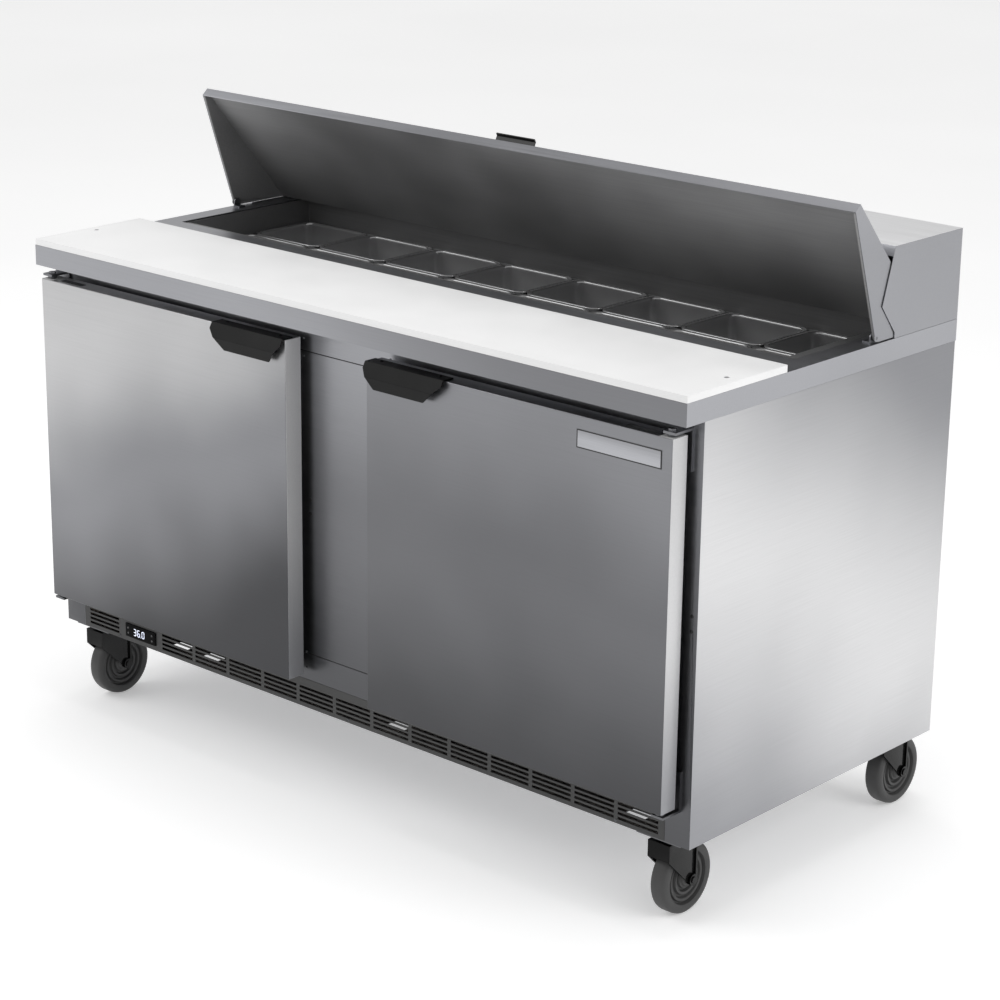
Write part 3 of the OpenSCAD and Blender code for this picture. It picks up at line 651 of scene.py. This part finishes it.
def turned(name, profile, centre, axis, steps):
    """A turned solid: (radius, along) pairs, in millimetres, spun round an axle."""
    axis = Vector(axis)
    out = Vector((0, 0, 1)) if abs(axis.z) < 0.5 else Vector((1, 0, 0))
    centre = Vector(centre)
    points = [centre + out * radius * MM + axis * along * MM for radius, along in profile]
    piece = start_outline(name, points[0])
    draw_to([b - a for a, b in zip(points, points[1:])])
    bpy.ops.mesh.select_all(action="SELECT")
    bpy.ops.mesh.spin(steps=steps, angle=math.tau, center=centre, axis=axis)
    leave_edit()
    close_up(piece)
    return piece


def bevel_sharp(piece, width, angle=30):
    """Rounds every edge sharper than an angle by a width in millimetres."""
    apply_modifier(piece, "BEVEL", width=width * MM, segments=2, limit_method="ANGLE",
                   angle_limit=math.radians(angle), use_clamp_overlap=True)


def copy_with_facing_light(node, name, body, tones_by_facing, edge=0.5):
    """A copy of a pressed node with rounded folds; the faces that pass each test get another tone,
    painted light and shade by the way they look.
    """
    deselect_all()
    source = NODES[node]
    source.select_set(True)
    bpy.context.view_layer.objects.active = source
    bpy.ops.object.duplicate(linked=False)
    copy = bpy.context.object
    copy.modifiers.clear()
    bpy.ops.mesh.customdata_custom_splitnormals_clear()
    copy.name = name
    copy.data.name = name
    close_up(copy, face_out=False)
    if edge:
        bevel_sharp(copy, edge, angle=40)
    settle(copy, body, tones_by_facing[0][0], smooth=20, replaces=[node])
    for steel, test in tones_by_facing[1:]:
        paint_facing_light(copy, steel, test)
    return copy


# ---------------------------------------------------------------- doors

DOOR_LOW, DOOR_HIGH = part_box("right_door_skin")


def make_door_skins():
    """Each door is a pressed pan with tight rounded folds, open at its back."""
    skin = start_block("right_door_pan", DOOR_LOW, DOOR_HIGH)
    edit(skin)
    pick(skin, "FACE", lambda f: f.normal.y > 0.9)
    bpy.ops.mesh.inset(thickness=1.6 * MM, depth=0)
    bpy.ops.mesh.delete(type="FACE")
    pick(skin, "EDGE", lambda e: all(v.co.y < DOOR_LOW.y + MM for v in e.verts))
    bevel_picked(1.5 * MM, 3)
    pick(skin, "EDGE", runs_along("y"))
    bevel_picked(0.7 * MM, 2)
    leave_edit()
    apply_modifier(skin, "SOLIDIFY", thickness=1.2 * MM, offset=-1.0)
    left = mirror_copy(skin, "left_door_pan")
    for piece, body, steel in ((skin, "right_door", RIGHT_DOOR_STEEL),
                               (left, "left_door", LEFT_DOOR_STEEL)):
        settle(piece, body, steel, replaces=[body + "_skin"])
        # The side faces get the lighter door-edge copy: painted light by facing.
        paint_facing_light(piece, DOOR_EDGE_STEEL, lambda f: abs(f.normal.x) > 0.9)


PLATE_LEFT, PLATE_RIGHT = 0.553, 0.721
PLATE_BELOW_TOP, PLATE_TALL = 0.110, 0.030


def make_name_plate():
    """A blank plate with a raised rim on the right door."""
    front = DOOR_LOW.y
    bottom = WORKTOP_TOP * MM - PLATE_BELOW_TOP
    low = Vector((PLATE_LEFT, front - 0.0012, bottom))
    high = Vector((PLATE_RIGHT, front - 0.0001, bottom + PLATE_TALL))
    plate = start_block("name_plate_rim", low, high)
    edit(plate)
    pick(plate, "FACE", lambda f: f.normal.y < -0.9)
    bpy.ops.mesh.inset(thickness=1.5 * MM, depth=0)
    bpy.ops.transform.translate(value=(0, 0.0006, 0))
    leave_edit()
    bevel_sharp(plate, 0.2)
    settle(plate, "right_door", DARK_TRIM_AND_SEAM_SHADE)
    rim = 0.0018
    face = start_block("name_plate_face", (low.x + rim, front - 0.0009, low.z + rim),
                       (high.x - rim, front - 0.0002, high.z - rim))
    bevel_sharp(face, 0.15)
    settle(face, "right_door", PLATE_STEEL)


def make_gaskets():
    """Magnetic gaskets: a base strip with a rounded bulb all round, and a groove between."""
    low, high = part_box("right_door_gasket")
    ring = start_block("right_door_seal", low, high)
    edit(ring)
    pick(ring, "FACE", lambda f: abs(f.normal.y) > 0.9)
    bpy.ops.mesh.inset(thickness=14 * MM, depth=0)
    bpy.ops.mesh.delete(type="FACE")
    pick(ring, "FACE", lambda f: f.normal.y > 0.9)
    bpy.ops.mesh.inset(thickness=4 * MM, depth=0)
    bpy.ops.transform.translate(value=(0, -0.003, 0))
    bpy.ops.mesh.inset(thickness=2 * MM, depth=0)
    bpy.ops.transform.translate(value=(0, 0.003, 0))
    leave_edit()
    edit(ring)
    pick(ring, "EDGE", lambda e: e.is_boundary)
    bpy.ops.mesh.bridge_edge_loops()
    leave_edit()
    close_up(ring)
    bevel_sharp(ring, 0.9)
    left = mirror_copy(ring, "left_door_seal")
    settle(ring, "right_door", GASKET, replaces=["right_door_gasket"])
    settle(left, "left_door", GASKET, replaces=["left_door_gasket"])


def screw(name, where, axis, radius, height):
    """A pan-head screw with a domed head and a cross slot, facing along axis."""
    axis = Vector(axis)
    profile = [(0, height), (radius * 0.55, height * 0.92), (radius * 0.88, height * 0.6),
               (radius, height * 0.2), (radius, -0.3), (0, -0.3)]
    head = turned(name, profile, where, axis, 16)
    reach = axis * height * MM
    long, narrow, deep = radius * 0.62, radius * 0.16, height * 0.6
    cutters = []
    for wide, tall in ((long, narrow), (narrow, long)):
        half = Vector((wide, deep, tall) if abs(axis.y) > 0.5 else (wide, tall, deep)) * MM
        middle = Vector(where) + reach
        cutters.append(start_block(name + "_slot", middle - half, middle + half))
    for cutter in cutters:
        bore(head, cutter)
    return head


def repeat_on_frame(first, places, name):
    """Copies a piece from the first (x, z) place on the frame's face to the others, all joined."""
    start = place(places[0][0], FRAME_FACE, places[0][1])
    copies = [copy_piece(first, first.name, place(x, FRAME_FACE, z) - start)
              for x, z in places[1:]]
    return join_pieces([first] + copies, name)


PANEL_SCREWS = ((103.5, 829), (-103.5, 829), (103.5, 798), (-103.5, 798), (103.5, 257),
                (-103.5, 257), (103.5, 227), (-103.5, 227), (-610, 155), (0, 155), (610, 155))
SPARE_HOLES = ((89.5, 542), (-89.5, 542), (89.5, 516.7), (-89.5, 516.7), (750.7, 542),
               (-750.7, 542), (750.7, 516.7), (-750.7, 516.7))
HANDLE_SCREW = 120        # the inner screw of each handle, from the middle
HANDLE_PITCH = 132        # from the inner to the outer screw


def make_screws():
    """Screws at the centre panel, grille and handles, and plugs in the spare hinge holes."""
    face = (0, -1, 0)
    x, z = PANEL_SCREWS[0]
    first = screw("panel_screw", place(x, FRAME_FACE, z), face, 2.6, 1.2)
    screws = repeat_on_frame(first, PANEL_SCREWS, "panel_screws")
    settle(screws, "cabinet", ZINC)
    x, z = SPARE_HOLES[0]
    plug = turned("spare_hole_plug", [(0, 0.6), (1.5, 0.55), (3.1, 0.3), (3.3, -0.2), (0, -0.3)],
                  place(x, FRAME_FACE, z), face, 20)
    plugs = repeat_on_frame(plug, SPARE_HOLES, "spare_hole_plugs")
    settle(plugs, "cabinet", BLACK_PLASTIC)
    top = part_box("right_door_handle")[1].z / MM
    for side, body in ((-1, "left_door"), (1, "right_door")):
        where = place(side * HANDLE_SCREW, 7, top)
        one = screw("handle_screw", where, (0, 0, 1), 3.6, 1.5)
        two = copy_piece(one, "handle_screw", (side * HANDLE_PITCH * MM, 0, 0))
        settle(join_pieces([one, two], "handle_screws_" + body), body, BLACK_COAT)


def make_hinge_trim():
    """A pale corner cap and a dark pocket on the top of each door, by its hinge."""
    top = DOOR_HIGH.z / MM
    for side, body in ((-1, "left_door"), (1, "right_door")):
        cap = start_block(body + "_corner_cap", place(side * 714, -4, top),
                          place(side * 740.5, 29, top + 0.25))
        edit(cap)
        pick(cap, "FACE", lambda f: f.normal.z > 0.9)
        step_in(1.2 * MM, 0.0)
        leave_edit()
        bevel_sharp(cap, 0.1)
        settle(cap, body, CAP_PLASTIC)
        pocket = start_block(body + "_pocket", place(side * 640, 4, top - 0.2),
                             place(side * 700, 18, top + 0.15))
        edit(pocket)
        pick(pocket, "EDGE", runs_along("z"))
        bevel_picked(3 * MM, 4)
        leave_edit()
        settle(pocket, body, BLACK_PLASTIC)


# ---------------------------------------------------------------- pressed steel

CORNERS = ("front_left", "front_right", "back_left", "back_right")


def make_pressed_steel():
    """Sides, worktop, hood, lid and forks: faces that look different ways get different tones,
    painted light and shade.
    """
    front = lambda f: f.normal.y < -0.8
    top = lambda f: f.normal.z > 0.8
    across = lambda f: abs(f.normal.x) > 0.8
    copy_with_facing_light("side_panels", "side_sheets", "cabinet",
               [(SIDE_STEEL, None), (POST_STEEL, front)])
    copy_with_facing_light("worktop", "worktop_sheet", "cabinet",
               [(TOP_STEEL, None), (FACE_STEEL, front)], edge=1.1)
    copy_with_facing_light("rear_hood", "hood_sheet", "cabinet",
               [(SIDE_HOOD_STEEL, None), (HOOD_STEEL, top)])
    copy_with_facing_light("lid_shell", "lid_sheet", "lid",
               [(LID_STEEL, None), (LID_END_STEEL, across)])
    copy_with_facing_light("lid_liner", "lid_inner_panel", "lid", [(LINER_STEEL, None)], edge=0.8)
    copy_with_facing_light("pan_well", "well_sheet", "cabinet", [(WELL_STEEL, None)], edge=0.8)
    # The bottoms of the seam grooves in the frame's face get the dark trim colour: painted shade in
    # the seams.
    seam_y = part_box("front_frame")[0].y + 0.001
    in_seam = lambda f: front(f) and abs(f.calc_center_median().y - seam_y) < 0.0003
    copy_with_facing_light("front_frame", "frame_sheet", "cabinet",
               [(FRAME_STEEL, None), (DARK_TRIM_AND_SEAM_SHADE, in_seam)], edge=0)
    # The forks' side faces get the lighter, glossier copy of the black: painted sheen by facing.
    for corner in CORNERS:
        copy_with_facing_light(corner + "_fork", corner + "_bracket", corner + "_swivel",
                   [(FORK_BLACK, None), (FORK_SIDE_SHEEN, across)], edge=0.6)


# ---------------------------------------------------------------- cutting board

PIN_X, PIN_Y = 738, 126   # the pins that hold the board
PIN_HEAD = [(0, 10.9), (3.2, 10.8), (3.9, 10.2), (4.0, 9.6), (4.0, 1), (0, 1)]


def make_cutting_board():
    """A thick white board with softened edges and a bored hole over each holding pin."""
    low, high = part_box("cutting_board")
    board = start_block("white_board", low, high)
    edit(board)
    pick(board, "EDGE", runs_along("z"))
    bevel_picked(2.5 * MM, 4)
    pick(board, "EDGE", lambda e: all(v.co.z > high.z - 0.0001 for v in e.verts))
    bevel_picked(0.9 * MM, 3)
    leave_edit()
    upward = (0, 0, 1)
    for side in (-1, 1):
        where = place(side * PIN_X, PIN_Y, WORKTOP_TOP - 2)
        bore(board, turned("board_bore", [(0, 0), (4.7, 0), (4.7, 20), (0, 20)], where, upward, 32))
    settle(board, "board", BOARD, replaces=["cutting_board"])
    pins = [turned("board_pin_head", PIN_HEAD, place(side * PIN_X, PIN_Y, WORKTOP_TOP), upward, 28)
            for side in (-1, 1)]
    settle(join_pieces(pins, "board_pin_heads"), "cabinet", CAP_PLASTIC)


# ---------------------------------------------------------------- pans

# How the rim, walls and bottom of a pan are pressed: how far in, then how far up, each step.
PAN_STEPS = ((0.2, 1.4), (0.6, 0.8), (1.2, 0.3), (3.6, -0.1), (1.4, -0.5), (0.9, -1.4),
             (0.5, -3.0), (0.5, -9.0), (0.6, -36.0), (0.6, -38.0), (0.8, -4.5), (1.6, -3.2),
             (2.6, -1.6), (5.0, -0.6))
PAN_CORNER = 24
RIM_DROP = 2.5            # the rim's outer edge, below its crown


def make_pans():
    """One sixth-size pan with a rolled rim, tapered walls and a rounded bottom, and its copies."""
    low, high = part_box("pan_01")
    middle = (low + high) / 2
    deselect_all()
    bpy.ops.mesh.primitive_plane_add(size=1, location=(middle.x, middle.y, high.z - RIM_DROP * MM))
    bpy.context.object.scale = (high.x - low.x, high.y - low.y, 1)
    pan = start_piece("food_pan_01")
    edit(pan)
    pick(pan, "VERT", lambda v: True)
    bevel_picked(PAN_CORNER * MM, 7, "VERTICES")
    pick(pan, "FACE", lambda f: True)
    for inset, rise in PAN_STEPS:
        step_in(inset * MM, rise * MM)
    leave_edit()
    apply_modifier(pan, "SOLIDIFY", thickness=0.8 * MM, offset=-1.0)
    close_up(pan, face_out=False)
    pans = [pan]
    for index in range(2, 17):
        name = f"pan_{index:02d}"
        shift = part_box(name)[0] - low
        pans.append(copy_piece(pan, f"food_{name}", shift))
    for index, one in enumerate(pans, 1):
        name = f"pan_{index:02d}"
        settle(one, name + "_body", PAN_STEEL, smooth=50, replaces=[name])


# ---------------------------------------------------------------- casters

# The rings of a wheel's face: radius, then how far in from the hub's face.
WHEEL_RINGS = ((6.1, 0), (12, 0), (13.5, 1), (15, 4.2), (18, 5), (20, 9), (23, 9.5), (25, 5),
               (29, 4.5), (31, 9), (34.5, 9.5), (36.5, 5.2), (40.5, 4.6), (42.5, 8), (44.5, 8),
               (46.5, 2.2), (49, 1), (55, 1), (59, 2.2), (61.4, 4.6))


def make_wheels():
    """Grey rubber wheels with stepped rings on their faces, round a hub with a bearing cap."""
    low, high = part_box("front_left_wheel")
    centre = (low + high) / 2
    half = (high.x - low.x) / 2 / MM
    radius = (high.z - low.z) / 2 / MM
    rings = [(ring, half - sunk) for ring, sunk in WHEEL_RINGS] + [(radius, half - 9)]
    profile = rings + [(radius, 0)] + [(r, -a) for r, a in reversed(rings)] + [rings[0]]
    wheel = turned("front_left_tyre", profile, centre, (1, 0, 0), 72)
    wheels = {"front_left": wheel}
    for corner in CORNERS[1:]:
        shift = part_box(corner + "_wheel")[0] - low
        wheels[corner] = copy_piece(wheel, corner + "_tyre", shift)
    for corner, one in wheels.items():
        settle(one, corner + "_roller", RUBBER, smooth=40,
               replaces=[corner + "_wheel"])


# ---------------------------------------------------------------- display

# Each stroke of a number: how far right and up its middle is, and whether it lies flat.
STROKES = {"a": (0, 1, 1), "b": (1, 0.5, 0), "c": (1, -0.5, 0), "d": (0, -1, 1),
           "e": (-1, -0.5, 0), "f": (-1, 0.5, 0), "g": (0, 0, 1)}
NUMBERS = ((-0.0105, "abgcd"), (0.0, "afgedc"), (0.0125, "abcdef"))
NUMBER_WIDE, NUMBER_TALL, NUMBER_LINE = 0.0030, 0.0062, 0.0007
NUMBER_SHIFT = -0.004     # the numbers stand left of the window's middle
TOUCH_MARKS = ((0.033, 0.005), (0.033, -0.005), (-0.034, 0.005), (-0.034, -0.005))


def make_display():
    """A black display with white seven-segment numbers and small touch marks."""
    low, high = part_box("display_controller")
    front = low.y
    middle = (low + high) / 2
    outward = (0, -1, 0)
    window = start_block("display_window", (low.x + 0.003, front - 0.0004, middle.z - 0.010),
                         (low.x + 0.081, front + 0.0004, middle.z + 0.010))
    edit(window)
    pick(window, "EDGE", runs_along("y"))
    bevel_picked(2 * MM, 4)
    leave_edit()
    settle(window, "cabinet", DISPLAY)
    bars = []
    for position, keys in NUMBERS:
        for key in keys:
            right, up, flat = STROKES[key]
            where = Vector((middle.x + NUMBER_SHIFT + position + right * NUMBER_WIDE,
                            front - 0.0006, middle.z + up * NUMBER_TALL))
            half = Vector((NUMBER_WIDE * 0.82 if flat else NUMBER_LINE, 0.0003,
                           NUMBER_LINE if flat else NUMBER_TALL * 0.42))
            bar = start_block("number_bar", where - half, where + half)
            edit(bar)
            pick(bar, "EDGE", runs_along("y"))
            bevel_picked(0.4 * MM, 2)
            leave_edit()
            bars.append(bar)
    point = (middle.x + NUMBER_SHIFT + 0.0062, front - 0.0006, middle.z - NUMBER_TALL)
    bars.append(turned("number_point", [(0, 0.3), (0.7, 0.3), (0.8, -0.3), (0, -0.3)], point,
                       outward, 16))
    settle(join_pieces(bars, "display_numbers"), "cabinet", NUMBER_GLOW)
    ring = [(1.1, 0.2), (1.6, 0.2), (1.6, -0.2), (1.1, -0.2), (1.1, 0.2)]
    marks = [turned("touch_mark", ring, (middle.x + x, front - 0.0005, middle.z + z), outward, 20)
             for x, z in TOUCH_MARKS]
    settle(join_pieces(marks, "touch_marks"), "cabinet", MARK_GREY)


make_door_skins()
make_name_plate()
make_gaskets()
make_screws()
make_hinge_trim()
make_pressed_steel()
make_cutting_board()
make_pans()
make_wheels()
make_display()


# ---------------------------------------------------------------- stage

def area_light(name, where, aim, size, power):
    """A white softbox that faces its aim."""
    data = bpy.data.lights.new(name, "AREA")
    data.shape = "RECTANGLE"
    data.size, data.size_y = size
    data.energy = power
    data.color = (1, 1, 1)
    light = bpy.data.objects.new(name, data)
    bpy.context.scene.collection.objects.link(light)
    light.location = where
    light.rotation_euler = (Vector(aim) - Vector(where)).to_track_quat("-Z", "Y").to_euler()


def make_stage():
    """A plain pale floor, an even pale studio and three softboxes."""
    bpy.ops.object.select_all(action="DESELECT")
    bpy.ops.mesh.primitive_plane_add(size=40, location=(0, 0, 0))
    floor = bpy.context.object
    floor.name = "floor"
    material, tree, shader = new_material("pale_floor")
    speckle = use_group(tree, SPECKLE, -600, 0, Scale=40.0, Patch_Scale=0.6)
    patches = spread(tree, speckle.outputs["Patches"], 0, 1, -350, 0)
    colour = blend_colours(tree, patches, grey(0.95), grey(0.97), -150, 0)
    tree.links.new(colour, shader.inputs["Base Color"])
    shader.inputs["Roughness"].default_value = 0.9
    shader.inputs["Specular IOR Level"].default_value = 0.1
    shader.inputs["Emission Strength"].default_value = 0.3
    shader.inputs["Emission Color"].default_value = (1, 1, 1, 1)
    floor.data.materials.append(material)
    world = bpy.data.worlds.new("studio")
    bpy.context.scene.world = world
    world.use_nodes = True
    backdrop = world.node_tree.nodes["Background"]
    backdrop.inputs["Color"].default_value = (1, 1, 1, 1)
    backdrop.inputs["Strength"].default_value = 0.62
    area_light("key_softbox", (-2.5, -2.5, 3.4), (0, 0, 0.8), (2.5, 2.5), 45)
    area_light("side_softbox", (4.0, 0.3, 2.4), (0.5, 0.1, 0.5), (2.5, 2.0), 42)
    area_light("top_softbox", (0.0, 0.2, 3.8), (0, 0, 0.8), (3.0, 2.0), 30)
    bpy.context.scene.view_settings.view_transform = "Standard"


make_stage()
